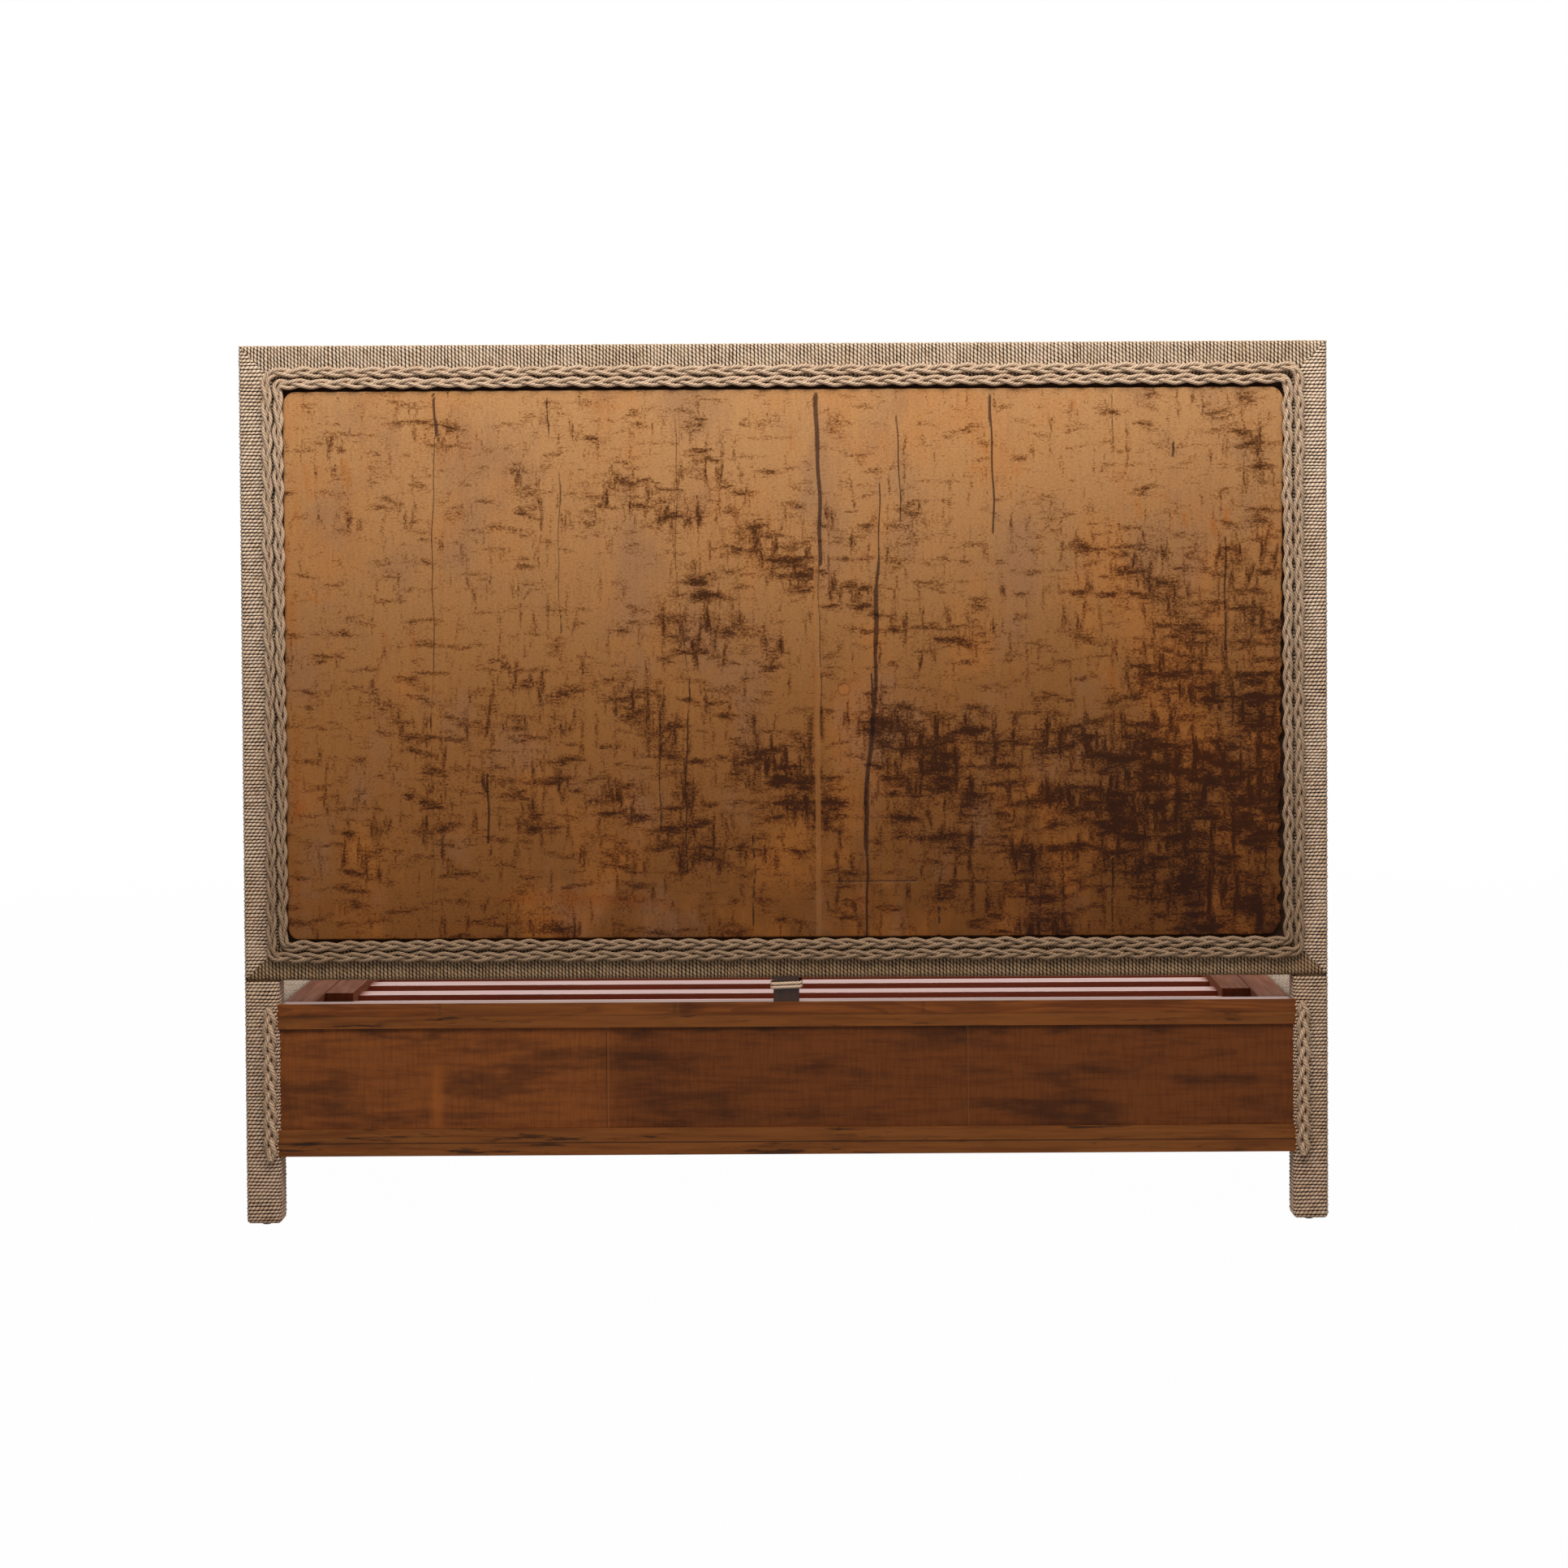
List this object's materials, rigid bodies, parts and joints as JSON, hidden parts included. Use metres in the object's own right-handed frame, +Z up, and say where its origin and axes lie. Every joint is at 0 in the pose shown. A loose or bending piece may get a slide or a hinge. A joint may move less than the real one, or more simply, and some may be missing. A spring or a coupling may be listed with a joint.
{
  "type": "bed frame",
  "caption": "Queen bed frame of wood wrapped in rush cord, with a plaited headboard border, a panelled back, a framed cross panel, wrapped rails, a slatted deck and a centre support.",
  "frame": {"origin": "middle of the bed's footprint, on the floor", "axes": "+Z up, +Y from the headboard to the foot end, +X to the right when the back of the headboard is looked at"},
  "size_m": [1.658, 2.177, 1.341],
  "materials": {
    "rush_cord": "natural rush cord, matte",
    "core_wood": "planed, unfinished",
    "panel_wood": "oiled, stained and worn",
    "red_wood": "red-brown stain, satin",
    "slat_wood": "red-brown stain, satin",
    "dark_wood": "dark stain, satin",
    "dark_plastic": "moulded",
    "steel": "zinc plated"
  },
  "bodies": {
    "frame": {"headboard_post_left": "core_wood", "post_wrap_left": "rush_cord", "braid_left": "rush_cord", "side_rail_left": "core_wood", "side_rail_wrap_left": "rush_cord", "side_plank_left": "red_wood", "ledger_left": "red_wood", "foot_post_left": "core_wood", "foot_post_wrap_left": "rush_cord", "glide_head_left": "dark_plastic", "glide_foot_left": "dark_plastic", "cross_panel_left": "red_wood", "headboard_post_right": "core_wood", "post_wrap_right": "rush_cord", "braid_right": "rush_cord", "side_rail_right": "core_wood", "side_rail_wrap_right": "rush_cord", "side_plank_right": "red_wood", "ledger_right": "red_wood", "foot_post_right": "core_wood", "foot_post_wrap_right": "rush_cord", "glide_head_right": "dark_plastic", "glide_foot_right": "dark_plastic", "cross_panel_right": "red_wood", "headboard_top_rail": "core_wood", "headboard_bottom_rail": "core_wood", "top_rail_wrap": "rush_cord", "bottom_rail_wrap": "rush_cord", "braid_top": "rush_cord", "braid_bottom": "rush_cord", "headboard_back_panel": "panel_wood", "headboard_woven_panel": "rush_cord", "centre_post": "dark_wood", "centre_post_binding": "rush_cord", "cross_rail_upper": "red_wood", "cross_rail_lower": "red_wood", "cross_panel_middle": "red_wood", "foot_rail": "core_wood", "foot_rail_wrap": "rush_cord", "centre_beam": "slat_wood", "centre_leg": "slat_wood", "slat_01": "slat_wood", "slat_02": "slat_wood", "slat_03": "slat_wood", "slat_04": "slat_wood", "slat_05": "slat_wood", "slat_06": "slat_wood", "slat_07": "slat_wood", "slat_08": "slat_wood", "slat_09": "slat_wood", "slat_10": "slat_wood", "slat_11": "slat_wood", "slat_12": "slat_wood", "slat_13": "slat_wood", "slat_14": "slat_wood", "slat_15": "slat_wood", "slat_16": "slat_wood", "slat_17": "slat_wood", "slat_18": "slat_wood"},
    "screw_foot": {"centre_leg_foot": "steel"}
  },
  "joints": [
    {"name": "centre_foot_screw", "type": "slide", "parent": "frame", "child": "screw_foot", "axis": [0, 0, 1], "range_m": [-0.008, 0.012]}
  ]
}
